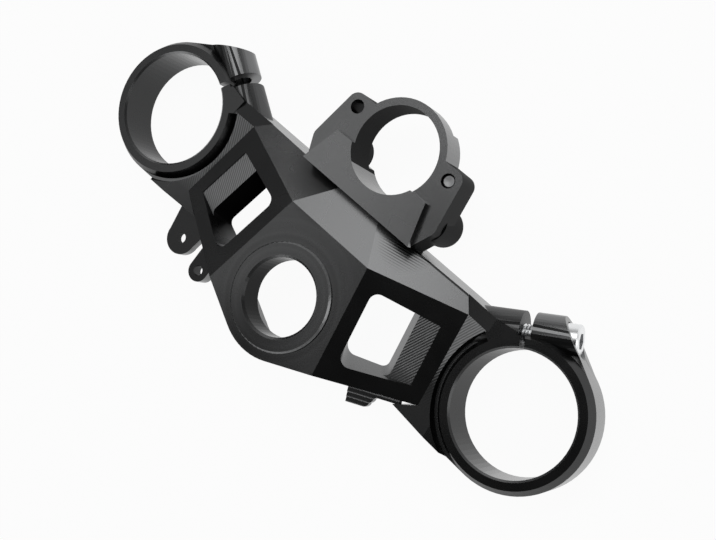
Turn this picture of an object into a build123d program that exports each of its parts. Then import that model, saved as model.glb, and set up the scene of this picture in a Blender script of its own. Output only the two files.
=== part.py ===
from build123d import *
import os
from math import acos, atan2, cos, degrees, hypot, radians, sin, tan

# Upper fork yoke of a motorcycle, machined from one billet, in millimetres.
# +X is the rider's right, +Y the front of the motorcycle, +Z up.
# The origin is on the steering axis, in the plane of the underside.

# Fork clamp rings
fork_bore = 50.0
fork_spacing = 204.0
fork_offset = 27.0
ring_wall = 6.2
ring_height = 21.2
rim_chamfer = 0.8
collar_width = 4.0
shoulder_drop = 4.2
channel_width = 1.3
channel_flare = 0.8

# Slit and ears of each clamp
slit_turn = 32.0
slit_width = 2.0
ear_gap = 5.0
ear_gap_start = 30.0
ear_radius = 9.0
ear_reach = 31.0
ear_height = 10.2
outer_ear_length = 10.6
inner_ear_length = 20.0

# Pinch bolt
bolt_diameter = 8.0
bolt_length = 30.0
bolt_clearance = 1.0
thread_clearance = 0.1
bolt_head_diameter = 13.0
bolt_head_height = 8.0
bolt_seat_diameter = 13.8
bolt_seat_wall = 9.5
bolt_socket = 6.0
bolt_socket_depth = 4.0
bolt_edge = 0.6

# Faceted centre, seen from above: the crown is flat, and the facets fall to the front and the sides
crown_height = 29.4
crown_half_width = 22.2
crown_front = 33.3
brow_half_width = 10.8
brow_height = 23.9
front_edge = 50.4
valley_front_inset = 38.2
valley_front = 44.5
valley_front_height = 19.4
valley_rear_inset = 30.9
valley_rear = 3.9
valley_rear_height = 19.6
front_corner_inset = 44.0
tail_radius = 27.0

# Shoulders between the centre and the rings
shoulder_rise = 0.16
shoulder_tilt = 0.024
shoulder_height = 21.0
apron_fall = 0.32
apron_inner_inset = 27.9
apron_outer_inset = 27.0
apron_step = 1.3
rear_corner_inset = 40.0
rear_corner_step = 1.0

# Steering stem hole
stem_bore = 33.0
stem_bore_chamfer = 1.0
stem_boss_diameter = 44.8
stem_boss_height = 1.4
stem_boss_chamfer = 0.8
stem_recess_diameter = 41.0
stem_seat_height = 18.4
stem_step = 2.7

# Windows in the side facets
window_turn = 12.0
window_x = 46.5
window_y = 16.0
window_inner = 12.9
window_inner_lean = 22.3
window_outer = 15.5
window_front = 15.0
window_rear = 11.35
window_rear_turn = 9.2
window_rear_lean = 17.6
window_corner = 4.0
ledge_start = 20.6
ledge_inner = 5.7
ledge_height = 20.8
ramp_foot = 0.3
ramp_height = 12.8
ramp_corner = 3.5

# Pockets under the side facets, which open into the stem recess
pocket_wall = 3.8
pocket_tail = 2.0
pocket_end = 52.0
pocket_side = 6.5
pocket_front = 16.0
pocket_inner_x = 20.0
pocket_inner_y = 28.0
pocket_mouth_x = 12.9
pocket_mouth_y = 15.3
pocket_corner = 4.0

# Ignition lock holder
lock_reach = 76.3
lock_bore = 37.0
lock_wall = 3.2
lock_top = 27.4
lock_bottom = 11.5
relief_start = 58.0
relief_end = 105.0
relief_top = 17.0
lock_ear_x = 25.6
lock_ear_forward = 3.8
lock_ear_half_width = 30.5
lock_ear_margin = 9.2
lock_ear_corner = 4.5
lock_hip_x = 34.6
lock_hip_back = 15.6
lock_foot_x = 30.0
lock_hole = 6.0
lock_rib_half = 21.0
lock_rib_bottom = 6.0
pad_top = 30.4
pad_back = 8.3
pad_front_half = 25.0
pad_rear_half = 30.4
lobe_x = 26.5
lobe_back = 14.1
lobe_radius = 8.4
lobe_top = 20.0
lock_screw_length = 8.0
lock_screw_depth = 1.2
lock_screw_edge = 0.7

# Lugs behind the body
tab_x = -65.0
tab_y = -16.5
tab_radius = 7.5
tab_root_half = 10.5
tab_root_y = 0.0
tab_hole = 4.8
tab_bottom = 7.0
tab_height = 4.0
stud_x = -48.7
stud_y = -22.3
stud_radius = 5.0
stud_root_y = -4.7
stud_root_rise = 2.4
stud_hole = 4.6
stud_bottom = 4.0
stud_height = 6.0
step_along = 39.5
step_half_length = 6.9
step_taper = 0.8
step_shift = 1.9
step_reach = 3.5
step_more = 2.4
step_top = 14.0
step_height = 3.0
step_count = 3
step_corner = 2.5
step_root = 2.0
rail_end = 56.0
rail_reach = 2.6

# Values worked out from the driving sizes
fork_x = fork_spacing / 2
bore_radius = fork_bore / 2
ring_radius = bore_radius + ring_wall
collar_radius = bore_radius + collar_width
channel_floor = ring_height - shoulder_drop
channel_radius = ring_radius + channel_width
turn = radians(slit_turn)
slit_line = Vector(-sin(turn), cos(turn), 0)
bolt_line = Vector(cos(turn), sin(turn), 0)
fork_axis = Vector(fork_x, fork_offset, 0)
clamp_plan = Plane(origin=fork_axis, x_dir=bolt_line, z_dir=(0, 0, 1))
fork_section = Plane(origin=fork_axis, x_dir=(1, 0, 0), z_dir=(0, -1, 0))
valley_front_point = (fork_x - valley_front_inset, valley_front, valley_front_height)
valley_rear_point = (fork_x - valley_rear_inset, valley_rear, valley_rear_height)
crown_point = (crown_half_width, crown_front, crown_height)
brow_point = (brow_half_width, front_edge, brow_height)
front_corner = (fork_x - front_corner_inset, front_edge)
apron_front = (fork_x - apron_inner_inset, front_edge)
apron_rear = (fork_x - apron_outer_inset, valley_front - apron_step)
lock_ear_y = lock_reach + lock_ear_forward
lock_ear_front = lock_reach + lock_ear_margin
lock_hip_y = lock_reach - lock_hip_back
lobe_y = lock_reach - lobe_back
lock_ring_radius = lock_bore / 2 + lock_wall
relief_corners = [
    Vector(0, lock_reach) + Vector(2 * lock_ring_radius, 0).rotate(Axis.Z, angle)
    for angle in (relief_start, relief_end)
]
pad_front = lock_reach - pad_back
rear_corner = (fork_x - rear_corner_inset, fork_offset - ring_radius + rear_corner_step)


def facet(first: tuple, second: tuple, third: tuple) -> Plane:
    """A plane through three corners, with its normal upwards."""
    a, b, c = Vector(first), Vector(second), Vector(third)
    normal = (b - a).cross(c - a)
    if normal.Z < 0:
        normal = normal * -1
    return Plane(origin=a, z_dir=normal)


def ear_section(offset: float) -> Plane:
    """The cross-section plane of an ear, at a distance from the slit: local x along the slit, y up."""
    return Plane(origin=fork_axis + bolt_line * offset, x_dir=slit_line, z_dir=bolt_line)


# Right half of the faceted centre
tail_turn = atan2(valley_rear, valley_rear_point[0]) - acos(
    tail_radius / hypot(valley_rear_point[0], valley_rear)
)
tail_point = (tail_radius * cos(tail_turn), tail_radius * sin(tail_turn))
rear_plan = Plane(
    origin=(tail_point[0], tail_point[1], 0),
    x_dir=(-sin(tail_turn), cos(tail_turn), 0),
    z_dir=(0, 0, 1),
)
with BuildPart() as centre:
    with BuildSketch():
        with BuildLine():
            Polyline(
                (0, -tail_radius),
                (0, front_edge),
                front_corner,
                valley_front_point[:2],
                valley_rear_point[:2],
                tail_point,
            )
            CenterArc((0, 0), tail_radius, -90, degrees(tail_turn) + 90)
        make_face()
    extrude(amount=crown_height)
    brow_fall = Plane(
        origin=crown_point,
        z_dir=(0, crown_height - brow_height, front_edge - crown_front),
    )
    split(bisect_by=brow_fall, keep=Keep.BOTTOM)
    split(bisect_by=facet(crown_point, brow_point, valley_front_point), keep=Keep.BOTTOM)
    split(bisect_by=facet(crown_point, valley_front_point, valley_rear_point), keep=Keep.BOTTOM)

# Right shoulder, which rises from the valley to the ring and falls to the front in an apron
with BuildPart() as shoulder:
    with BuildSketch():
        with BuildLine():
            Polyline(
                front_corner,
                apron_front,
                apron_rear,
                (fork_x, fork_offset),
                (fork_x, fork_offset - ring_radius),
                rear_corner,
                valley_rear_point[:2],
                valley_front_point[:2],
                close=True,
            )
        make_face()
    extrude(amount=shoulder_height)
    shoulder_plane = Plane(origin=valley_front_point, z_dir=(-shoulder_rise, -shoulder_tilt, 1))
    apron_plane = Plane(origin=valley_front_point, z_dir=(-shoulder_rise, apron_fall, 1))
    split(bisect_by=shoulder_plane, keep=Keep.BOTTOM)
    split(bisect_by=apron_plane, keep=Keep.BOTTOM)

# Right half of the lock holder's block, with its ear, its raised pad and its round lobe
with BuildPart() as lock_side:
    with BuildSketch(Plane.XY.offset(lock_bottom)):
        with BuildLine():
            Polyline(
                (0, front_edge),
                (lock_foot_x, front_edge),
                (lock_hip_x, lock_hip_y),
                (lock_ear_half_width, lock_ear_front),
                (0, lock_ear_front),
                close=True,
            )
        make_face()
        ear_corner = vertices().group_by(Axis.Y)[-1].sort_by(Axis.X)[-1]
        hip_corner = vertices().sort_by(Axis.X)[-1]
        fillet([ear_corner, hip_corner], lock_ear_corner)
    extrude(amount=lock_top - lock_bottom)
    with BuildSketch(Plane.XY.offset(lock_rib_bottom)):
        with Locations((0, front_edge)):
            Rectangle(lock_rib_half, lobe_y - front_edge, align=Align.MIN)
    extrude(amount=lock_bottom - lock_rib_bottom)
    with BuildSketch():
        with Locations((lobe_x, lobe_y)):
            Circle(lobe_radius)
    extrude(amount=lobe_top)
    with BuildSketch(Plane.XY.offset(lock_top)):
        with BuildLine():
            Polyline(
                (0, front_edge),
                (pad_rear_half, front_edge),
                (pad_front_half, pad_front),
                (0, pad_front),
                close=True,
            )
        make_face()
    extrude(amount=pad_top - lock_top)

# Right half of the yoke: centre, shoulder, clamp ring, ears and window
ear_edge = ear_gap / 2
outer_ear_end = ear_edge + outer_ear_length
bolt_seat = ear_edge + bolt_seat_wall
ear_front = ear_reach + ear_radius
flat_front = clamp_plan.from_local_coords((-ear_edge, ring_radius, 0))
channel_turn = atan2(apron_rear[1] - fork_offset, apron_rear[0] - fork_x)
channel_arc = 360 - degrees(channel_turn) + 90 + slit_turn
window_plan = Plane(
    origin=(window_x, window_y, 0),
    x_dir=(cos(radians(window_turn)), sin(radians(window_turn)), 0),
    z_dir=(0, 0, 1),
)
slot_top = crown_height + 1
slot_bottom = ramp_height / 2
inner_slope = tan(radians(window_inner_lean))
ramp_slope = (ledge_inner - ramp_foot) / (ledge_height - ramp_height)
rear_slope = tan(radians(window_rear_turn))
rear_lean = tan(radians(window_rear_lean))
window_rear_plane = Plane(
    origin=window_plan.from_local_coords((0, -window_rear, ramp_height)),
    z_dir=window_plan.y_dir - window_plan.x_dir * rear_slope + window_plan.z_dir * rear_lean,
)


def inner_wall(height: float) -> float:
    """Local x of the window's leaning inner wall at a height."""
    return -window_inner - (slot_top - height) * inner_slope


def rear_wall(x: float, height: float) -> float:
    """Local y of the window's leaning rear wall at a local x and a height."""
    return rear_slope * x - window_rear - rear_lean * (height - ramp_height)


with BuildPart() as window_cut:
    # Slot with its leaning inner wall, ramp and ledge in one section, cut off along the leaning rear wall
    with BuildSketch(
        Plane(
            origin=window_plan.from_local_coords((0, window_front, 0)),
            x_dir=window_plan.x_dir,
            z_dir=-window_plan.y_dir,
        )
    ):
        with BuildLine():
            Polyline(
                (-window_inner, slot_top),
                (inner_wall(slot_bottom), slot_bottom),
                (ramp_foot - (ramp_height - slot_bottom) * ramp_slope, slot_bottom),
                (ledge_inner, ledge_height),
                (window_outer, ledge_start),
                (window_outer, slot_top),
                close=True,
            )
        make_face()
    extrude(amount=3 * window_front)
    split(bisect_by=window_rear_plane, keep=Keep.TOP)
    inner_middle = inner_wall(ramp_height)
    inner_corners = [
        edges().sort_by_distance(window_plan.from_local_coords((inner_middle, y, ramp_height)))[0]
        for y in (window_front, rear_wall(inner_middle, ramp_height))
    ]
    fillet(inner_corners, window_corner)
    ramp_end = window_plan.from_local_coords((ramp_foot, rear_wall(ramp_foot, ramp_height), ramp_height))
    fillet(edges().sort_by_distance(ramp_end)[0], ramp_corner)

# Outer ear, cut off along the tangent from its front to the ring, and the web between them
web_angle = atan2(outer_ear_end, ear_front) + acos(ring_radius / hypot(outer_ear_end, ear_front))
web_normal = bolt_line * sin(web_angle) + slit_line * cos(web_angle)
web_start = ring_radius * cos(web_angle)
with BuildPart() as outer_ear:
    with BuildSketch(ear_section(ear_edge)):
        with Locations((ear_reach, ear_height)):
            Circle(ear_radius)
    extrude(amount=ring_radius)
    with BuildSketch(clamp_plan.offset(ear_height - ear_radius)):
        with Locations((ear_edge, web_start)):
            Rectangle(ring_radius, ear_reach - web_start, align=Align.MIN)
    extrude(amount=channel_floor - ear_height + ear_radius)
    split(bisect_by=Plane(origin=fork_axis + web_normal * ring_radius, z_dir=web_normal), keep=Keep.BOTTOM)

with BuildPart() as half_yoke:
    add(centre.part)
    add(shoulder.part)
    add(lock_side.part)
    with BuildSketch():
        with Locations((fork_x, fork_offset)):
            Circle(ring_radius)
    extrude(amount=ring_height)
    with BuildSketch():
        with BuildLine():
            Polyline(
                apron_rear,
                apron_front,
                (flat_front.X, flat_front.Y),
                (fork_x, fork_offset),
                close=True,
            )
        make_face()
    extrude(amount=ring_height)
    # Channel round the collar, from the apron round to the slit
    channel_start = Plane(
        origin=fork_axis,
        x_dir=(cos(channel_turn), sin(channel_turn), 0),
        z_dir=(sin(channel_turn), -cos(channel_turn), 0),
    )
    with BuildSketch(channel_start):
        with BuildLine():
            Polyline(
                (collar_radius, ring_height),
                (ring_radius, channel_floor),
                (channel_radius, channel_floor),
                (channel_radius + channel_flare, ring_height),
                close=True,
            )
        make_face()
    revolve(axis=Axis(fork_axis, (0, 0, 1)), revolution_arc=channel_arc, mode=Mode.SUBTRACT)
    # Ears
    add(outer_ear.part)
    with BuildSketch(ear_section(-ear_edge)):
        with Locations((ear_reach, ear_height)):
            Circle(ear_radius)
    extrude(amount=-inner_ear_length)
    # Fork bore with its chamfered rims, slit, gap between the ears and bolt holes
    with BuildSketch(fork_section):
        with BuildLine():
            Polyline(
                (0, 0),
                (bore_radius + rim_chamfer, 0),
                (bore_radius, rim_chamfer),
                (bore_radius, ring_height - rim_chamfer),
                (bore_radius + rim_chamfer, ring_height),
                (0, ring_height),
                close=True,
            )
        make_face()
    revolve(axis=Axis(fork_axis, (0, 0, 1)), mode=Mode.SUBTRACT)
    with BuildSketch(clamp_plan):
        with Locations((0, ear_reach)):
            Rectangle(slit_width, 2 * (ear_reach - bore_radius + ring_wall))
        with Locations((0, ear_gap_start)):
            Rectangle(ear_gap, ear_radius + ear_reach, align=(Align.CENTER, Align.MIN))
    extrude(amount=ring_height, mode=Mode.SUBTRACT)
    with BuildSketch(ear_section(0)):
        with Locations((ear_reach, ear_height)):
            Circle((bolt_diameter + bolt_clearance) / 2)
    extrude(amount=bolt_seat, mode=Mode.SUBTRACT)
    with BuildSketch(ear_section(bolt_seat)):
        with Locations((ear_reach, ear_height)):
            Circle(bolt_seat_diameter / 2)
    extrude(amount=2 * bolt_head_height, mode=Mode.SUBTRACT)
    with BuildSketch(ear_section(0)):
        with Locations((ear_reach, ear_height)):
            Circle((bolt_diameter + thread_clearance) / 2)
    extrude(amount=bolt_seat - bolt_length - 1, mode=Mode.SUBTRACT)
    # Pocket under the side facet and the window above it
    with BuildSketch():
        with BuildLine():
            Polyline(
                rear_plan.from_local_coords((pocket_tail, pocket_wall, 0)),
                rear_plan.from_local_coords((pocket_end, pocket_wall, 0)),
                window_plan.from_local_coords((pocket_side, pocket_front, 0)),
                (pocket_inner_x, pocket_inner_y),
                (pocket_mouth_x, pocket_mouth_y),
                close=True,
            )
        make_face()
        fillet(vertices().sort_by(Axis.X)[-3:], pocket_corner)
    extrude(amount=ramp_height, mode=Mode.SUBTRACT)
    add(window_cut.part, mode=Mode.SUBTRACT)

# The whole yoke: both halves, the lock ring, the stem boss and the lugs behind
with BuildPart() as upper_yoke:
    add(half_yoke.part)
    mirror(about=Plane.YZ)
    with BuildSketch(Plane.XY.offset(lock_bottom)):
        with Locations((0, lock_reach)):
            Circle(lock_ring_radius)
    extrude(amount=lock_top - lock_bottom)
    with BuildSketch(Plane.XY.offset(lock_bottom)):
        with BuildLine():
            for angle in (relief_start, relief_end):
                PolarLine((0, lock_reach), 2 * lock_ring_radius, angle)
            Line(relief_corners[0], relief_corners[1])
        make_face()
    extrude(amount=relief_top - lock_bottom, mode=Mode.SUBTRACT)
    with Locations((0, lock_reach, pad_top)):
        Hole(lock_bore / 2)
    with Locations((lock_ear_x, lock_ear_y, lock_top), (-lock_ear_x, lock_ear_y, lock_top)):
        Hole(lock_hole / 2)
    # Stem boss, stem hole and the stepped recess under it
    with BuildSketch(Plane.XY.offset(crown_height)):
        Circle(stem_boss_diameter / 2 + stem_boss_chamfer)
    extrude(amount=stem_boss_height)
    chamfer(edges().filter_by(GeomType.CIRCLE).sort_by(Axis.Z)[-1], stem_boss_chamfer)
    stem_top = crown_height + stem_boss_height
    with BuildSketch(Plane.XZ):
        with BuildLine():
            Polyline(
                (0, 0),
                (stem_recess_diameter / 2 + stem_step, 0),
                (stem_recess_diameter / 2 + stem_step, ramp_height),
                (stem_recess_diameter / 2, ramp_height),
                (stem_recess_diameter / 2, stem_seat_height),
                (stem_bore / 2, stem_seat_height),
                (stem_bore / 2, stem_top - stem_bore_chamfer),
                (stem_bore / 2 + stem_bore_chamfer, stem_top),
                (0, stem_top),
                close=True,
            )
        make_face()
    revolve(axis=Axis.Z, mode=Mode.SUBTRACT)
    # Tab with a plain hole and stud lug with a tapped hole, on the left
    with BuildSketch(Plane.XY.offset(tab_bottom)):
        with BuildLine():
            Polyline(
                (tab_x - tab_radius, tab_y),
                (tab_x - tab_root_half, tab_root_y),
                (tab_x + tab_root_half, tab_root_y),
                (tab_x + tab_radius, tab_y),
                close=True,
            )
        make_face()
        with Locations((tab_x, tab_y)):
            Circle(tab_radius)
    extrude(amount=tab_height)
    with Locations((tab_x, tab_y, tab_bottom + tab_height)):
        Hole(tab_hole / 2, depth=tab_height)
    with BuildSketch(Plane.XY.offset(stud_bottom)):
        with BuildLine():
            Polyline(
                (stud_x - stud_radius, stud_y),
                (stud_x - stud_radius, stud_root_y + stud_root_rise),
                (stud_x + stud_radius, stud_root_y - stud_root_rise),
                (stud_x + stud_radius, stud_y),
                close=True,
            )
        make_face()
        with Locations((stud_x, stud_y)):
            Circle(stud_radius)
    extrude(amount=stud_height)
    with Locations((stud_x, stud_y, stud_bottom + stud_height)):
        Hole(stud_hole / 2, depth=stud_height)
    # Stepped lug on the right, along the straight rear edge, and the rail from it to the ring
    for step in range(step_count):
        with BuildSketch(rear_plan.offset(step_top - (step + 1) * step_height)):
            with Locations((step_along - step * step_shift, step_root)):
                Rectangle(
                    2 * (step_half_length - step * step_taper),
                    step_root + step_reach + step * step_more,
                    align=(Align.CENTER, Align.MAX),
                )
            fillet(vertices().group_by(Axis.X)[-1].sort_by(Axis.Y)[0], step_corner)
        extrude(amount=step_height)
    with BuildSketch(rear_plan.offset(step_top - step_height)):
        with Locations((step_along, step_root)):
            Rectangle(rail_end - step_along, step_root + rail_reach, align=(Align.MIN, Align.MAX))
    extrude(amount=step_height)

# Pinch bolt of the right clamp: a socket-head screw with its head on the outer ear
with BuildPart() as pinch_bolt:
    with BuildSketch(ear_section(bolt_seat)):
        with Locations((ear_reach, ear_height)):
            Circle(bolt_head_diameter / 2)
    extrude(amount=bolt_head_height)
    chamfer(edges().group_by(Axis((0, 0, 0), bolt_line))[-1], bolt_edge)
    with BuildSketch(ear_section(bolt_seat)):
        with Locations((ear_reach, ear_height)):
            Circle(bolt_diameter / 2)
    extrude(amount=-bolt_length)
    chamfer(edges().group_by(Axis((0, 0, 0), bolt_line))[0], bolt_edge)
    with BuildSketch(ear_section(bolt_seat + bolt_head_height)):
        with Locations((ear_reach, ear_height)):
            RegularPolygon(bolt_socket / 2, 6, major_radius=False)
    extrude(amount=-bolt_socket_depth, mode=Mode.SUBTRACT)

# End of the screw left in the right-hand hole of the lock holder
with BuildPart() as lock_screw:
    with BuildSketch(Plane.XY.offset(lock_top - lock_screw_depth)):
        with Locations((lock_ear_x, lock_ear_y)):
            Circle(lock_hole / 2)
    extrude(amount=-lock_screw_length)
    chamfer(edges().sort_by(Axis.Z)[-1], lock_screw_edge)

os.makedirs("parts", exist_ok=True)
upper_yoke.part.label = "upper_yoke"
pinch_bolt.part.label = "pinch_bolt"
lock_screw.part.label = "lock_screw"
export_step(upper_yoke.part, "parts/upper_yoke.step")
export_step(pinch_bolt.part, "parts/pinch_bolt.step")
export_step(lock_screw.part, "parts/lock_screw.step")
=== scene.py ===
"""Dresses the upper fork yoke: a black anodised billet body with its two bright steel screws."""

import logging
import math
from collections.abc import Sequence
from dataclasses import dataclass, field
from enum import Enum
from typing import Any, Optional, Union

import bmesh
import bpy
from mathutils import Matrix, Vector


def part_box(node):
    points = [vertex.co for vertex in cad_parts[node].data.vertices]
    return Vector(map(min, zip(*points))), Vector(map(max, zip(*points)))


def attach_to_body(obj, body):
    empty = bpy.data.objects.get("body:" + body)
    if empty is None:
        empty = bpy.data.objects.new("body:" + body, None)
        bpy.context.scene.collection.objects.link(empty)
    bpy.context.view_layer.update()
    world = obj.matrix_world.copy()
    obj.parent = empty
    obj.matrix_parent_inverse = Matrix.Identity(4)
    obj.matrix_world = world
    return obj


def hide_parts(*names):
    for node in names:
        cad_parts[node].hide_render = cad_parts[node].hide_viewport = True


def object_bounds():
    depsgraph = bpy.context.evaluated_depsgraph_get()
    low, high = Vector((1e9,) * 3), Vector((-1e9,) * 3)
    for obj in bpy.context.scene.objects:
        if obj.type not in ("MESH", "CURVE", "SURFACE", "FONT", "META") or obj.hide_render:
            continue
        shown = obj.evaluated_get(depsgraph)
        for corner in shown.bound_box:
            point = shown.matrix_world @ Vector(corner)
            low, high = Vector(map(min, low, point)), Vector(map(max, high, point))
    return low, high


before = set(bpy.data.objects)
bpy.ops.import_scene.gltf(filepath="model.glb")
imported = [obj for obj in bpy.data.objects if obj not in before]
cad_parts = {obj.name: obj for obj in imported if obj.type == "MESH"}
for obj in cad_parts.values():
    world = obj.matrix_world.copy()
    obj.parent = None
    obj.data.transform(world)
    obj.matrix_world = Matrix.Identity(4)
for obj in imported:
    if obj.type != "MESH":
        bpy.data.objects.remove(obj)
cad_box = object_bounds()

LOG = logging.getLogger("upper_yoke")
MM = 0.001


class Body(Enum):
    """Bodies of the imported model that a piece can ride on."""

    ROOT = "root"


class Slot(Enum):
    """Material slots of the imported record."""

    ANODISED = "black_anodised"
    STEEL = "bright_steel"


class ZoneValue(Enum):
    """What a machined zone stores on its faces, by the name of its field, its painted light and
    shade among them.
    """

    PAINTED_LIGHT_AND_SHADE = "tone"
    PAINTED_SHADE = "painted_shade"
    ROUGHNESS = "roughness"
    LINES = "lines"
    PATCHED = "patched"
    TURNED = "turned"
    PAINTED_HIGHLIGHTS = "painted_highlights"

    @property
    def attribute(self) -> str:
        """Name of the mesh attribute."""
        return f"zone_{self.value}"


class Signal:
    """A number that varies over a surface, so that shader maths reads as Python."""

    def __init__(self, tree: "ShaderTree", socket: bpy.types.NodeSocket) -> None:
        """Wraps an output socket of a shader tree.

        Args:
            tree: The tree that holds the socket.
            socket: The output socket.
        """
        self.tree = tree
        self.socket = socket

    def __add__(self, other: "Term") -> "Signal":
        """Sum of this signal and a number or signal."""
        return self.tree.maths("ADD", self, other)

    def __sub__(self, other: "Term") -> "Signal":
        """This signal less a number or signal."""
        return self.tree.maths("SUBTRACT", self, other)

    def __rsub__(self, other: "Term") -> "Signal":
        """A number less this signal."""
        return self.tree.maths("SUBTRACT", other, self)

    def __mul__(self, other: "Term") -> "Signal":
        """Product of this signal and a number or signal."""
        return self.tree.maths("MULTIPLY", self, other)

    def __truediv__(self, other: "Term") -> "Signal":
        """This signal divided by a number or signal."""
        return self.tree.maths("DIVIDE", self, other)

    def __gt__(self, other: "Term") -> "Signal":
        """One where this signal is greater, and zero elsewhere."""
        return self.tree.maths("GREATER_THAN", self, other)

    __radd__ = __add__
    __rmul__ = __mul__

    def clamped(self) -> "Signal":
        """This signal, held between zero and one."""
        return self.tree.maths("ADD", self, 0.0, clamp=True)


Term = Union[float, Signal]
Colour = tuple[float, float, float, float]


def grey(level: float, warmth: float = 0.0) -> Colour:
    """An opaque grey.

    Args:
        level: Linear level of the green channel.
        warmth: Share by which red is above and blue below that level.

    Returns:
        The colour, with full alpha.
    """
    return (level * (1 + warmth), level, level * (1 - warmth), 1.0)


class ShaderTree:
    """A node tree of a material or of the world, filled through one method."""

    def __init__(self, owner: Union[bpy.types.Material, bpy.types.World]) -> None:
        """Clears the owner's nodes.

        Args:
            owner: The material or world whose tree is filled.
        """
        owner.use_nodes = True
        self.nodes = owner.node_tree.nodes
        self.links = owner.node_tree.links
        self.nodes.clear()

    def node(
        self,
        kind: str,
        settings: Optional[dict[str, Any]] = None,
        inputs: Optional[dict[Union[str, int], Any]] = None,
    ) -> bpy.types.Node:
        """Adds a node.

        Args:
            kind: Type of the node, such as ShaderNodeMath.
            settings: Properties of the node, set first. A ramp's stops are pairs of position and
                colour.
            inputs: Values or links of its sockets, by name or by number.

        Returns:
            The new node.
        """
        made = self.nodes.new(kind)
        for name, value in (settings or {}).items():
            if name == "stops":
                self._set_stops(made.color_ramp, value)
            else:
                setattr(made, name, value)
        for key, value in (inputs or {}).items():
            socket = made.inputs[key]
            if isinstance(value, Signal):
                value = value.socket
            if isinstance(value, bpy.types.NodeSocket):
                self.links.new(value, socket)
            else:
                socket.default_value = value
        return made

    @staticmethod
    def _set_stops(ramp: bpy.types.ColorRamp, stops: Sequence[tuple[float, Colour]]) -> None:
        """Gives a ramp its stops.

        Args:
            ramp: The ramp.
            stops: Position and colour of each stop, in order.
        """
        while len(ramp.elements) < len(stops):
            ramp.elements.new(1.0)
        for element, (position, colour) in zip(ramp.elements, stops):
            element.position = position
            element.color = colour

    def maths(self, operation: str, first: Term, second: Term = 0.0, clamp: bool = False) -> Signal:
        """Adds a Math node.

        Args:
            operation: The node's operation.
            first: First value or signal.
            second: Second value or signal.
            clamp: Whether the result is held between zero and one.

        Returns:
            The result.
        """
        made = self.node(
            "ShaderNodeMath", {"operation": operation, "use_clamp": clamp}, {0: first, 1: second}
        )
        return Signal(self, made.outputs[0])

    def place(self) -> bpy.types.NodeSocket:
        """Position on the object, in metres in the row frame."""
        return self.node("ShaderNodeTexCoord").outputs["Object"]

    def axis(self, vector: bpy.types.NodeSocket, name: str) -> Signal:
        """One component of a vector.

        Args:
            vector: The vector's socket.
            name: X, Y or Z.

        Returns:
            The component.
        """
        return Signal(self, self.node("ShaderNodeSeparateXYZ", inputs={0: vector}).outputs[name])

    def radius(self, vector: bpy.types.NodeSocket) -> Signal:
        """Distance from the upright axis through the origin.

        Args:
            vector: The place's socket.

        Returns:
            The distance.
        """
        flat = self.node(
            "ShaderNodeVectorMath", {"operation": "MULTIPLY"}, {0: vector, 1: (1.0, 1.0, 0.0)}
        )
        away = self.node("ShaderNodeVectorMath", {"operation": "LENGTH"}, {0: flat.outputs[0]})
        return Signal(self, away.outputs["Value"])

    def along_x(self, value: Signal) -> bpy.types.NodeSocket:
        """A vector along X of that length."""
        return self.node("ShaderNodeCombineXYZ", inputs={"X": value}).outputs[0]

    def noise(self, vector: bpy.types.NodeSocket, scale: float, detail: float) -> Signal:
        """Smooth noise between zero and one.

        Args:
            vector: Where the noise is read.
            scale: Its frequency, per metre.
            detail: Number of finer layers.

        Returns:
            The noise.
        """
        made = self.node(
            "ShaderNodeTexNoise", inputs={"Vector": vector, "Scale": scale, "Detail": detail}
        )
        return Signal(self, made.outputs["Fac"])

    def stored(self, kind: ZoneValue) -> Signal:
        """A value that the zones store on the mesh.

        Args:
            kind: Which value.

        Returns:
            The value.
        """
        made = self.node("ShaderNodeAttribute", {"attribute_name": kind.attribute})
        return Signal(self, made.outputs["Fac"])

    def shaded(self, colour: Colour, level: Signal) -> bpy.types.NodeSocket:
        """A colour times a level.

        Args:
            colour: The colour.
            level: The level, one for the colour as it is.

        Returns:
            The product.
        """
        made = self.node(
            "ShaderNodeVectorMath", {"operation": "SCALE"}, {0: colour[:3], "Scale": level}
        )
        return made.outputs[0]

    def bump(self, height: Signal) -> bpy.types.NodeSocket:
        """Normal of a surface with fine relief.

        Args:
            height: Height of the relief, in metres.

        Returns:
            The normal.
        """
        made = self.node("ShaderNodeBump", inputs={"Distance": 1.0, "Height": height})
        return made.outputs["Normal"]

    def finish_with(self, shader: bpy.types.Node, output: str = "ShaderNodeOutputMaterial") -> None:
        """Links a shader to the tree's output.

        Args:
            shader: The node whose first output is the surface.
            output: Type of the output node.
        """
        self.node(output, inputs={"Surface": shader.outputs[0]})


@dataclass(frozen=True)
class ShadedPatch:
    """A patch of painted shadow on the zones that take patches, in millimetres seen from above."""

    side: float
    ahead: float
    reach: float
    strength: float
    marks: float = 0.0

    def nearness(self, side: Signal, ahead: Signal) -> Signal:
        """One at the patch's centre, falling to zero at its edge.

        Args:
            side: Position along X.
            ahead: Position along Y.

        Returns:
            The nearness.
        """
        across, along = side - self.side * MM, ahead - self.ahead * MM
        away = side.tree.maths("SQRT", across * across + along * along)
        return (1 - away / (self.reach * MM)).clamped()


# Patches of painted shadow; the first, by the right end of the pad, has milling marks in it
SHADED_PATCHES = (
    ShadedPatch(side=27.0, ahead=51.5, reach=13.0, strength=1.8, marks=2.2),
    ShadedPatch(side=-14.0, ahead=60.0, reach=30.0, strength=1.4),
    ShadedPatch(side=72.0, ahead=7.0, reach=20.0, strength=1.2),
    ShadedPatch(side=0.0, ahead=-27.0, reach=30.0, strength=0.6),
    ShadedPatch(side=-50.0, ahead=18.0, reach=20.0, strength=2.0),
)


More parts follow.
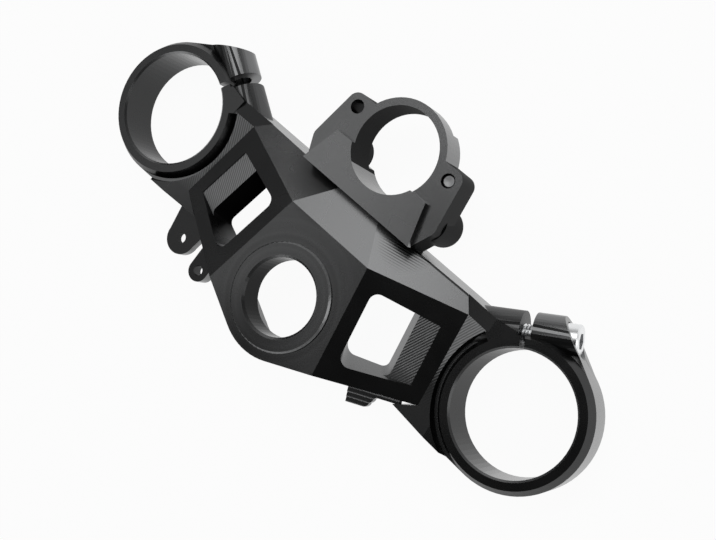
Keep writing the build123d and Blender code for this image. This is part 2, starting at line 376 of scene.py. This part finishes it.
@dataclass(frozen=True)
class BlackAnodise:
    """Satin black anodised aluminium, with a tone and a grain that each machined zone sets; the
    zones' tones and dark shares are painted light and shade.
    """

    name: str = "black_anodised"
    level: float = 0.17
    warmth: float = -0.01
    painted_shade_level: float = 0.004
    cloud_scale: float = 60.0
    cloud_detail: float = 3.0
    cloud_share: float = 0.16
    cloud_roughness: float = 0.08
    grain_scale: float = 1500.0
    grain_detail: float = 2.0
    grain_depth: float = 0.012 * MM
    turning_scale: float = 420.0
    turning_detail: float = 1.0
    turning_share: float = 0.5
    line_pitch: float = 1.0 * MM
    line_depth: float = 0.04 * MM
    line_turn: float = math.radians(-23.7)
    line_share: float = 0.6
    # Painted shade: milled faces darken towards the rear, down to a rest of metal
    fade_start: float = 3.0 * MM
    fade_reach: float = 9.0 * MM
    fade_share: float = 0.6
    milled_rest: float = 0.1
    mark_pitch: float = 1.0 * MM
    mark_turn: float = math.radians(99.7)
    # Painted shade: a dark band along the right front edge
    front_edge: float = 49.45 * MM
    front_blend: float = 0.3 * MM
    front_share: float = 0.85
    # Painted highlights along the stepped lug's edges
    highlight_pitch: float = 2.4 * MM
    highlight_turn: float = math.radians(-64.6)
    highlight_start: float = 0.5 * MM
    rim_share: float = 0.45

    def build(self) -> bpy.types.Material:
        """Makes the material.

        Returns:
            The material.
        """
        material = bpy.data.materials.new(self.name)
        tree = ShaderTree(material)
        place = tree.place()
        side, ahead = tree.axis(place, "X"), tree.axis(place, "Y")
        cloud = tree.noise(place, self.cloud_scale, self.cloud_detail) - 0.5
        grain = tree.noise(place, self.grain_scale, self.grain_detail)
        fade = ((ahead - self.fade_start) / self.fade_reach).clamped()
        milled = tree.stored(ZoneValue.LINES)
        across = tree.maths("ABSOLUTE", side)
        lines = self._waves(across, ahead, self.line_turn, self.line_pitch) * milled * fade
        roughness = tree.stored(ZoneValue.ROUGHNESS) + cloud * self.cloud_roughness
        bright = tree.node(
            "ShaderNodeBsdfPrincipled",
            inputs={
                "Base Color": tree.shaded(
                    grey(self.level, self.warmth), self._tone_and_painted_light(tree, place, cloud)
                ),
                "Metallic": 1.0,
                "Roughness": roughness.clamped(),
                "Normal": tree.bump(grain * self.grain_depth + lines * self.line_depth),
            },
        )
        # Dark surface that the painted shade, and the milling lines, mix in
        painted_shade = tree.node(
            "ShaderNodeBsdfPrincipled",
            inputs={
                "Base Color": grey(self.painted_shade_level),
                "Roughness": 1.0,
                "Specular IOR Level": 0.0,
            },
        )
        share = tree.stored(ZoneValue.PAINTED_SHADE) + self._shade(tree, side, ahead)
        # Milling lines darken the finish; milled faces also darken towards the rear as painted
        # shade
        share = share + lines * self.line_share + milled * (1 - fade) * self.fade_share
        share = tree.maths("MINIMUM", share, 1 - milled * self.milled_rest)
        # Painted highlights take away from the dark share
        share = share - self._painted_highlights(tree, side, ahead)
        shader = tree.node(
            "ShaderNodeMixShader",
            inputs={0: share.clamped(), 1: bright.outputs[0], 2: painted_shade.outputs[0]},
        )
        tree.finish_with(shader)
        return material

    def _tone_and_painted_light(self, tree: ShaderTree, place: bpy.types.NodeSocket, cloud: Signal) -> Signal:
        """Level of the metal: each zone's painted light and shade, with clouds and the turning
        marks round the stem.

        Args:
            tree: The material's tree.
            place: Position on the object.
            cloud: Soft noise about zero.

        Returns:
            The level.
        """
        rings = tree.along_x(tree.radius(place))
        turning = tree.noise(rings, self.turning_scale, self.turning_detail) - 0.5
        turned = tree.stored(ZoneValue.TURNED) * turning * self.turning_share
        return tree.stored(ZoneValue.PAINTED_LIGHT_AND_SHADE) * (1 + cloud * self.cloud_share + turned)

    def _shade(self, tree: ShaderTree, side: Signal, ahead: Signal) -> Signal:
        """Share of painted shadow from the patches, with milling marks, and of painted shade along
        the right front edge.

        Args:
            tree: The material's tree.
            side: Position along X.
            ahead: Position along Y.

        Returns:
            The share, which may be above one.
        """
        marks = self._waves(side, ahead, self.mark_turn, self.mark_pitch)
        # Painted shade along the right front edge
        front = ((ahead - self.front_edge) / self.front_blend).clamped() * (side > 0.0)
        shade = front * self.front_share
        for patch in SHADED_PATCHES:
            near = patch.nearness(side, ahead)
            shade = shade + near * (1 - marks * patch.marks * (1 - near)) * patch.strength
        return shade * tree.stored(ZoneValue.PATCHED)

    def _painted_highlights(self, tree: ShaderTree, side: Signal, ahead: Signal) -> Signal:
        """Painted highlights along the edges of the stepped lug.

        Args:
            tree: The material's tree.
            side: Position along X.
            ahead: Position along Y.

        Returns:
            Their strength.
        """
        edges = self._waves(side, ahead, self.highlight_turn, self.highlight_pitch, self.highlight_start)
        painted_highlights = ((edges - (1 - self.rim_share)) / self.rim_share).clamped()
        return painted_highlights * tree.stored(ZoneValue.PAINTED_HIGHLIGHTS)

    @staticmethod
    def _waves(
        side: Signal, ahead: Signal, turn: float, pitch: float, start: float = 0.0
    ) -> Signal:
        """Straight waves across the surface, seen from above.

        Args:
            side: Position along X.
            ahead: Position along Y.
            turn: Direction across the waves, from X.
            pitch: Distance between them.
            start: How far they are moved along that direction.

        Returns:
            Their height, between zero and one.
        """
        across = side * math.cos(turn) + ahead * math.sin(turn) - start
        return side.tree.maths("PINGPONG", across / pitch, 0.5) * 2


@dataclass(frozen=True)
class BrightSteel:
    """Bright plated steel, with soft clouds in its tone and roughness."""

    name: str = "bright_steel"
    level: float = 0.82
    warmth: float = -0.01
    roughness: float = 0.24
    cloud_scale: float = 400.0
    cloud_detail: float = 3.0
    cloud_share: float = 0.2
    cloud_roughness: float = 0.1

    def build(self) -> bpy.types.Material:
        """Makes the material.

        Returns:
            The material.
        """
        material = bpy.data.materials.new(self.name)
        tree = ShaderTree(material)
        cloud = tree.noise(tree.place(), self.cloud_scale, self.cloud_detail)
        tone = 1 + (cloud - 0.5) * self.cloud_share
        shader = tree.node(
            "ShaderNodeBsdfPrincipled",
            inputs={
                "Base Color": tree.shaded(grey(self.level, self.warmth), tone),
                "Metallic": 1.0,
                "Roughness": self.roughness + cloud * self.cloud_roughness,
            },
        )
        tree.finish_with(shader)
        return material


@dataclass(frozen=True)
class PaleFloor:
    """Matt white floor, which shows white to the camera and keeps a soft shadow."""

    name: str = "pale_floor"
    level: float = 0.9
    white_share: float = 0.95

    def build(self) -> bpy.types.Material:
        """Makes the material.

        Returns:
            The material.
        """
        material = bpy.data.materials.new(self.name)
        tree = ShaderTree(material)
        path = tree.node("ShaderNodeLightPath").outputs
        seen = Signal(tree, path["Is Camera Ray"]) + Signal(tree, path["Is Glossy Ray"])
        seen = (seen + Signal(tree, path["Is Transmission Ray"])).clamped()
        matt = tree.node("ShaderNodeBsdfDiffuse", inputs={"Color": grey(self.level)})
        white = tree.node("ShaderNodeEmission", inputs={"Color": grey(1.0), "Strength": 1.0})
        shader = tree.node(
            "ShaderNodeMixShader",
            inputs={0: seen * self.white_share, 1: matt.outputs[0], 2: white.outputs[0]},
        )
        tree.finish_with(shader)
        return material


@dataclass(frozen=True)
class Bore:
    """The wall round an upright axis, in millimetres in the right half."""

    x: float
    y: float
    radius: float
    match: float = 0.6

    def holds(self, point: Vector, outward: Vector) -> bool:
        """Whether a face lies within the radius and faces the axis.

        Args:
            point: The face's centre.
            outward: Its normal.

        Returns:
            True if it does.
        """
        inward = Vector((self.x - point.x, self.y - point.y, 0.0))
        return inward.length < self.radius and outward.dot(inward.normalized()) > self.match


@dataclass(frozen=True)
class Belt:
    """The space between two radii from an upright axis, in millimetres in the right half."""

    x: float
    y: float
    inner: float
    outer: float

    def holds(self, point: Vector) -> bool:
        """Whether a point lies in the belt."""
        return self.inner <= math.hypot(point.x - self.x, point.y - self.y) <= self.outer


# Bore walls that face this way keep their painted shade; with a glint, the others carry a painted
# reflection
SHADED_TURN = math.radians(25.0)
SHADED_SIDE = Vector((math.cos(SHADED_TURN), math.sin(SHADED_TURN), 0.0))


@dataclass(frozen=True)
class Zone:
    """A machined zone of the yoke, told by where its faces are and which way they face.

    Places are in millimetres. The zone is given for the right half and holds for both.

    Attributes:
        name: Name of the zone.
        tone: Level of the metal, as a multiple of the finish's own: painted light and shade.
        painted_shade: Share of dull black mixed in as painted shade.
        roughness: Roughness of the metal.
        lines: Strength of the milling lines.
        patched: Whether the painted shadow patches show, as zero or one.
        turned: Strength of the turning marks round the stem.
        painted_highlights: Strength of the painted highlights along stepped edges.
        glint: How much less dark a bore's wall is where it turns away from the shaded side, a
            painted reflection.
        facing: Direction that the faces have, if it matters.
        match: Least cosine between that direction and a face's normal.
        low: Lower corner of the space that the faces' centres lie in.
        high: Upper corner of that space.
        bore: The wall that the faces lie on, if it matters.
        belt: The belt that the faces' centres lie in, if it matters.
    """

    name: str
    tone: float = 1.0
    painted_shade: float = 0.0
    roughness: float = 0.27
    lines: float = 0.0
    patched: float = 0.0
    turned: float = 0.0
    painted_highlights: float = 0.0
    glint: float = 0.0
    facing: Optional[tuple[float, float, float]] = None
    match: float = 0.997
    low: tuple[float, float, float] = (0.0, -1000.0, -1000.0)
    high: tuple[float, float, float] = (1000.0, 1000.0, 1000.0)
    bore: Optional[Bore] = None
    belt: Optional[Belt] = None

    def holds(self, place: Vector, normal: Vector) -> bool:
        """Whether a face belongs to the zone.

        Args:
            place: The face's centre, in metres.
            normal: Its normal.

        Returns:
            True if it does.
        """
        side = -1.0 if place.x < 0 else 1.0
        point = Vector((abs(place.x), place.y, place.z)) / MM
        outward = Vector((normal.x * side, normal.y, normal.z))
        if any(not low <= value <= high for low, value, high in zip(self.low, point, self.high)):
            return False
        if self.facing and outward.dot(Vector(self.facing).normalized()) < self.match:
            return False
        if self.belt and not self.belt.holds(point):
            return False
        return self.bore is None or self.bore.holds(point, outward)

    def value(self, kind: ZoneValue, normal: Vector) -> float:
        """What a face of the zone stores.

        Args:
            kind: Which of the zone's values.
            normal: The face's normal.

        Returns:
            The value. With a glint, a wall is less dark where it turns away from the shaded side, a
            painted reflection.
        """
        stored = getattr(self, kind.value)
        if kind is ZoneValue.PAINTED_SHADE and self.glint:
            turned_away = 1 - max(0.0, normal.dot(SHADED_SIDE))
            stored = max(0.0, stored - self.glint * turned_away**2)
        return stored


UP = (0.0, 0.0, 1.0)
AHEAD = (0.0, 1.0, 0.0)
FORK_BORE = Bore(102.0, 27.0, 26.0)
STEM_BORE = Bore(0.0, 0.0, 21.0)
LOCK_BORE = Bore(0.0, 76.3, 19.0)
COLLAR_BELT = Belt(102.0, 27.0, 28.9, 33.5)

# The first zone that holds a face gives its values. Each zone's tone and dark share are painted
# light and shade, set facet by facet.
YOKE_ZONES = (
    Zone("fork_bore", painted_shade=0.72, glint=0.9, bore=FORK_BORE),
    Zone("stem_bore", painted_shade=0.88, glint=0.9, bore=STEM_BORE),
    Zone("lock_bore_rear", 0.9, facing=AHEAD, match=0.82, bore=LOCK_BORE),
    Zone("lock_bore", painted_shade=0.92, bore=LOCK_BORE),
    Zone("lock_hole", painted_shade=0.9, bore=Bore(25.6, 80.1, 3.3)),
    Zone("tab_hole", painted_shade=0.85, bore=Bore(65.0, -16.5, 2.7)),
    Zone("stud_hole", painted_shade=0.7, bore=Bore(48.7, -22.3, 2.6)),
    Zone("lobe", painted_shade=0.9, low=(18.0, 54.0, -1.0), high=(36.0, 71.0, 17.1)),
    Zone("pad", 1.25, facing=UP, low=(0.0, 50.0, 30.0), high=(40.0, 72.0, 31.0)),
    Zone("holder_top", facing=UP, low=(0.0, 50.6, 26.0)),
    Zone("holder_side", painted_shade=0.86, low=(20.0, 50.6, 12.0), high=(40.0, 90.0, 27.3)),
    Zone(
        "stem_boss",
        0.6,
        patched=1.0,
        turned=1.0,
        facing=UP,
        low=(0.0, -25.0, 30.0),
        high=(25.0, 25.0, 31.0),
    ),
    Zone("crown", 0.56, patched=1.0, turned=1.0, facing=UP, low=(0.0, -30.0, 29.0)),
    Zone("brow", 0.82, facing=(0.0, 0.306, 0.952)),
    Zone("cheek", 0.95, patched=1.0, facing=(0.12, 0.38, 0.92)),
    Zone("flank", 0.42, facing=(0.22, 0.04, 0.97)),
    Zone(
        "shoulder",
        2.0,
        roughness=0.3,
        lines=1.0,
        patched=1.0,
        facing=(-0.158, -0.024, 0.987),
    ),
    Zone("apron", 0.2, painted_shade=0.6, facing=(-0.151, 0.302, 0.942)),
    Zone("collar", 0.4, facing=UP, low=(66.0, -10.0, 20.5), high=(140.0, 60.0, 21.5)),
    Zone("collar_slope", 0.65, painted_shade=0.5, low=(60.0, -10.0, 16.0), belt=COLLAR_BELT),
    Zone(
        "ledge",
        1.85,
        roughness=0.3,
        lines=1.0,
        facing=UP,
        low=(44.0, -5.0, 19.0),
        high=(66.0, 45.0, 21.1),
    ),
    Zone(
        "window_wall", 1.2, painted_shade=0.3, patched=1.0, low=(26.0, -3.0, 5.0), high=(64.0, 40.0, 28.0)
    ),
    Zone("stud", painted_shade=0.8, facing=UP, low=(42.0, -32.0, 9.5), high=(56.0, 0.0, 10.5)),
    Zone("tab", painted_shade=0.75, facing=UP, low=(56.0, -32.0, 9.5), high=(80.0, 0.0, 11.5)),
    Zone(
        "step",
        4.0,
        painted_shade=0.9,
        painted_highlights=0.9,
        facing=UP,
        low=(38.0, -22.0, 7.5),
        high=(60.0, -3.0, 14.5),
    ),
    Zone("inner_ear", painted_shade=0.5, low=(60.0, 50.5, 0.0), high=(84.0, 90.0, 20.5)),
)


def ring(centre: Vector, across: Vector, up: Vector, radii: Sequence[float]) -> list[Vector]:
    """Points round a centre, one for each radius.

    Args:
        centre: The centre.
        across: Unit direction of the first point.
        up: Unit direction a quarter turn on.
        radii: Radius of each point, evenly spaced in angle.

    Returns:
        The points.
    """
    count = len(radii)
    turns = (2 * math.pi * k / count for k in range(count))
    return [centre + (across * math.cos(a) + up * math.sin(a)) * r for a, r in zip(turns, radii)]


def loft(name: str, rings: Sequence[Sequence[Vector]]) -> bpy.types.Object:
    """A closed mesh through rings of points, with its two ends filled.

    Args:
        name: Name of the object.
        rings: Rings with the same number of points.

    Returns:
        The object, linked to the scene.
    """
    mesh = bpy.data.meshes.new(name)
    shape = bmesh.new()
    rows = [[shape.verts.new(point) for point in points] for points in rings]
    count = len(rows[0])
    for low, high in zip(rows, rows[1:]):
        for k in range(count):
            shape.faces.new((low[k], low[(k + 1) % count], high[(k + 1) % count], high[k]))
    shape.faces.new(reversed(rows[0]))
    shape.faces.new(rows[-1])
    bmesh.ops.recalc_face_normals(shape, faces=shape.faces)
    shape.to_mesh(mesh)
    shape.free()
    made = bpy.data.objects.new(name, mesh)
    bpy.context.scene.collection.objects.link(made)
    return made


def smooth_by_angle(mesh: bpy.types.Mesh, angle: float) -> None:
    """Shades a mesh smooth, with edges sharper than an angle kept sharp.

    Args:
        mesh: The mesh.
        angle: The angle, in radians.
    """
    mesh.shade_smooth()
    mesh.set_sharp_from_angle(angle=angle)


def attach(piece: bpy.types.Object, slot: Slot, *nodes: str) -> None:
    """Puts a piece on the root body in place of CAD nodes.

    Args:
        piece: The piece.
        slot: Its material slot; not used.
        nodes: The nodes that it stands for.
    """
    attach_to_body(piece, Body.ROOT.value)
    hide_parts(*nodes)
    LOG.info("%s stands for %s", piece.name, ", ".join(nodes))


@dataclass
class YokeBody:
    """The one-piece body, with its fine broken edges and machined zones."""

    node: str = "upper_yoke"
    name: str = "yoke_body"
    edge_width: float = 0.28 * MM
    edge_segments: int = 2
    edge_angle: float = math.radians(10.2)
    merge_distance: float = 0.002 * MM
    flat_angle: float = math.radians(0.2)
    zones: Sequence[Zone] = YOKE_ZONES

    def build(self, finish: bpy.types.Material) -> bpy.types.Object:
        """Makes the body from the CAD node's mesh.

        Args:
            finish: Its material.

        Returns:
            The body.
        """
        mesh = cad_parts[self.node].data.copy()
        mesh.name = self.name
        body = bpy.data.objects.new(self.name, mesh)
        bpy.context.scene.collection.objects.link(body)
        self._clean(mesh)
        mesh.materials.clear()
        mesh.materials.append(finish)
        smooth_by_angle(mesh, self.edge_angle)
        self._mark_zones(mesh)
        bevel = body.modifiers.new("broken_edges", "BEVEL")
        bevel.width = self.edge_width
        bevel.segments = self.edge_segments
        bevel.limit_method = "ANGLE"
        bevel.angle_limit = self.edge_angle
        bevel.harden_normals = True
        attach(body, Slot.ANODISED, self.node)
        return body

    def _clean(self, mesh: bpy.types.Mesh) -> None:
        """Joins the mesh's corners and clears the lines inside flat faces.

        Args:
            mesh: The mesh.
        """
        shape = bmesh.new()
        shape.from_mesh(mesh)
        bmesh.ops.remove_doubles(shape, verts=shape.verts, dist=self.merge_distance)
        bmesh.ops.dissolve_limit(
            shape, angle_limit=self.flat_angle, verts=shape.verts, edges=shape.edges
        )
        shape.to_mesh(mesh)
        shape.free()

    def _mark_zones(self, mesh: bpy.types.Mesh) -> None:
        """Stores each face's zone values and keeps the edges between zones sharp.

        Args:
            mesh: The mesh.
        """
        plain = Zone("plain")
        zones = [
            next((zone for zone in self.zones if zone.holds(face.center, face.normal)), plain)
            for face in mesh.polygons
        ]
        for kind in ZoneValue:
            store = mesh.attributes.new(kind.attribute, "FLOAT", "FACE")
            values = [zone.value(kind, face.normal) for face, zone in zip(mesh.polygons, zones)]
            store.data.foreach_set("value", values)
        seen: dict[int, set[str]] = {}
        for face, zone in zip(mesh.polygons, zones):
            for loop in face.loop_indices:
                seen.setdefault(mesh.loops[loop].edge_index, set()).add(zone.name)
        for edge, names in seen.items():
            if len(names) > 1:
                mesh.edges[edge].use_edge_sharp = True


@dataclass
class PinchBolt:
    """The socket-head screw across the slit of the right clamp."""

    node: str = "pinch_bolt"
    fork_axis: Vector = field(default_factory=lambda: Vector((102.0, 27.0, 0.0)) * MM)
    slit_turn: float = math.radians(32.0)
    reach: float = 31.0 * MM
    height: float = 10.2 * MM
    seat: float = 12.0 * MM
    length: float = 30.0 * MM
    crest_radius: float = 4.0 * MM
    root_radius: float = 3.32 * MM
    pitch: float = 1.25 * MM
    head_radius: float = 6.5 * MM
    head_height: float = 8.0 * MM
    edge: float = 0.6 * MM
    socket_radius: float = 3.0 * MM
    socket_depth: float = 4.0 * MM
    round_count: int = 48
    steps_per_turn: int = 8
    smooth_angle: float = math.radians(35.0)

    def build(self, finish: bpy.types.Material) -> bpy.types.Object:
        """Makes the screw.

        Args:
            finish: Its material.

        Returns:
            The screw.
        """
        along = Vector((math.cos(self.slit_turn), math.sin(self.slit_turn), 0.0))
        across = Vector((-math.sin(self.slit_turn), math.cos(self.slit_turn), 0.0))
        up = Vector((0.0, 0.0, 1.0))
        start = self.fork_axis + across * self.reach + up * self.height + along * self.seat

        def at(offset: float, radii: Sequence[float]) -> list[Vector]:
            """A ring at a distance outwards from the head's seat."""
            return ring(start + along * offset, across, up, radii)

        count = self.round_count
        rings = [at(offset, radii) for offset, radii in self._thread()]
        top = self.head_height
        hexagon = [self._hexagon_radius(2 * math.pi * k / count) for k in range(count)]
        rings += [
            at(0.0, [self.head_radius] * count),
            at(top - self.edge, [self.head_radius] * count),
            at(top, [self.head_radius - self.edge] * count),
            at(top, hexagon),
            at(top - self.socket_depth, hexagon),
        ]
        bolt = loft("pinch_bolt_screw", rings)
        bolt.data.materials.append(finish)
        smooth_by_angle(bolt.data, self.smooth_angle)
        attach(bolt, Slot.STEEL, self.node)
        return bolt

    def _thread(self) -> list[tuple[float, list[float]]]:
        """Offset and radii of each ring of the threaded shank, from its tip to the head.

        Returns:
            The rings.
        """
        rings = []
        depth = self.crest_radius - self.root_radius
        steps = round(self.length / self.pitch * self.steps_per_turn)
        for step in range(steps + 1):
            offset = -self.length + self.length * step / steps
            taper = min(1.0, step / self.steps_per_turn)
            radii = []
            for k in range(self.round_count):
                phase = (offset / self.pitch + k / self.round_count) % 1.0
                rise = 1 - abs(2 * phase - 1)
                radii.append(self.root_radius + depth * rise * taper)
            rings.append((offset, radii))
        return rings

    def _hexagon_radius(self, turn: float) -> float:
        """Distance from the centre to the socket's wall.

        Args:
            turn: Direction, in radians.

        Returns:
            The distance.
        """
        sixth = math.pi / 3
        return self.socket_radius / math.cos((turn + sixth / 2) % sixth - sixth / 2)


@dataclass
class LockScrew:
    """The end of the screw in the right-hand hole of the lock holder."""

    node: str = "lock_screw"
    edge: float = 0.5 * MM
    dish: float = 0.25 * MM
    share: float = 0.88
    rim_share: float = 0.7
    dish_share: float = 0.3
    round_count: int = 40
    smooth_angle: float = math.radians(30.0)

    def build(self, finish: bpy.types.Material) -> bpy.types.Object:
        """Makes the screw's end.

        Args:
            finish: Its material.

        Returns:
            The screw's end.
        """
        low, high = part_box(self.node)
        radius = (high.x - low.x) / 2
        centre = (low + high) / 2
        profile = [
            (low.z, radius),
            (high.z - self.edge, radius),
            (high.z, radius - self.edge),
            (high.z, radius * self.rim_share),
            (high.z - self.dish, radius * self.dish_share),
        ]
        across, up = Vector((1.0, 0.0, 0.0)), Vector((0.0, 1.0, 0.0))
        rings = [
            ring(Vector((centre.x, centre.y, z)), across, up, [r * self.share] * self.round_count)
            for z, r in profile
        ]
        screw = loft("lock_screw_end", rings)
        screw.data.materials.append(finish)
        smooth_by_angle(screw.data, self.smooth_angle)
        attach(screw, Slot.STEEL, self.node)
        return screw


@dataclass(frozen=True)
class SoftBox:
    """A square studio light, aimed at the yoke from a direction."""

    name: str
    azimuth: float
    elevation: float
    distance: float
    size: float
    radiance: float

    def place(self, target: Vector) -> bpy.types.Object:
        """Puts the light in the scene.

        Args:
            target: Where it points.

        Returns:
            The light.
        """
        turn, rise = math.radians(self.azimuth), math.radians(self.elevation)
        away = Vector(
            (math.cos(rise) * math.cos(turn), math.cos(rise) * math.sin(turn), math.sin(rise))
        )
        lamp = bpy.data.lights.new(self.name, "AREA")
        lamp.size = self.size
        lamp.energy = self.radiance * math.pi * self.size**2
        light = bpy.data.objects.new(self.name, lamp)
        light.location = target + away * self.distance
        light.rotation_euler = away.to_track_quat("Z", "Y").to_euler()
        bpy.context.scene.collection.objects.link(light)
        return light


@dataclass
class Studio:
    """Floor, soft lights, surroundings and the photograph's camera."""

    camera_place: Vector = field(default_factory=lambda: Vector((183.87, 108.28, 436.47)) * MM)
    camera_right: Vector = field(default_factory=lambda: Vector((0.69078, 0.60566, -0.39497)))
    camera_up: Vector = field(default_factory=lambda: Vector((-0.62216, 0.77620, 0.10214)))
    focal_pixels: float = 1117.9
    image_width: float = 716.0
    sensor_width: float = 36.0
    clip_start: float = 10.0 * MM
    floor_size: float = 8.0
    floor_gap: float = 0.1 * MM
    target: Vector = field(default_factory=lambda: Vector((0.0, 25.0, 15.0)) * MM)
    boxes: Sequence[SoftBox] = (
        SoftBox("front_box", azimuth=118.0, elevation=60.0, distance=1.2, size=0.8, radiance=2.0),
        SoftBox("left_box", azimuth=-162.0, elevation=57.0, distance=1.2, size=0.5, radiance=0.75),
        SoftBox("right_box", azimuth=20.0, elevation=25.0, distance=1.4, size=0.8, radiance=1.5),
        SoftBox("rear_box", azimuth=-90.0, elevation=25.0, distance=1.4, size=0.9, radiance=0.8),
    )
    room: Sequence[tuple[float, float]] = ((0.0, 0.9), (0.35, 0.42), (0.6, 0.14), (0.95, 0.025))

    def build(self) -> None:
        """Makes the floor, the lights, the surroundings and the camera."""
        self._floor()
        self._surroundings()
        for box in self.boxes:
            box.place(self.target)
        self._camera()
        bpy.context.scene.view_settings.view_transform = "Standard"

    def _floor(self) -> None:
        """Makes the floor under the yoke."""
        half = self.floor_size / 2
        level = cad_box[0].z - self.floor_gap
        mesh = bpy.data.meshes.new("floor")
        signs = ((-1, -1), (1, -1), (1, 1), (-1, 1))
        corners = [(half * x, half * y, level) for x, y in signs]
        mesh.from_pydata(corners, [], [(0, 1, 2, 3)])
        mesh.materials.append(PaleFloor().build())
        floor = bpy.data.objects.new("floor", mesh)
        bpy.context.scene.collection.objects.link(floor)

    def _surroundings(self) -> None:
        """Makes a pale room that darkens towards its ceiling."""
        world = bpy.data.worlds.new("studio_room")
        bpy.context.scene.world = world
        tree = ShaderTree(world)
        up = tree.axis(tree.node("ShaderNodeTexCoord").outputs["Generated"], "Z")
        stops = [(height, grey(level)) for height, level in self.room]
        ramp = tree.node("ShaderNodeValToRGB", {"stops": stops}, {0: up})
        shader = tree.node(
            "ShaderNodeBackground", inputs={"Color": ramp.outputs[0], "Strength": 1.0}
        )
        tree.finish_with(shader, "ShaderNodeOutputWorld")

    def _camera(self) -> None:
        """Makes the camera at the photograph's place and angle."""
        data = bpy.data.cameras.new("photo_camera")
        data.sensor_width = self.sensor_width
        data.lens = self.focal_pixels / self.image_width * self.sensor_width
        data.clip_start = self.clip_start
        camera = bpy.data.objects.new("photo_camera", data)
        back = self.camera_right.cross(self.camera_up)
        turn = Matrix((self.camera_right, self.camera_up, back)).transposed().to_4x4()
        camera.matrix_world = Matrix.Translation(self.camera_place) @ turn
        bpy.context.scene.collection.objects.link(camera)
        bpy.context.scene.camera = camera


def main() -> None:
    """Builds the pieces and the studio."""
    logging.basicConfig(level=logging.INFO, format="%(message)s")
    anodise = BlackAnodise().build()
    steel = BrightSteel().build()
    # A darker, rougher copy of the bright steel: painted shade on the lock screw's recessed end
    shaded_steel = BrightSteel(name="shaded_steel", level=0.42, roughness=0.42).build()
    YokeBody().build(anodise)
    PinchBolt().build(steel)
    LockScrew().build(shaded_steel)
    Studio().build()
    bpy.context.view_layer.update()


if __name__ == "__main__":
    main()
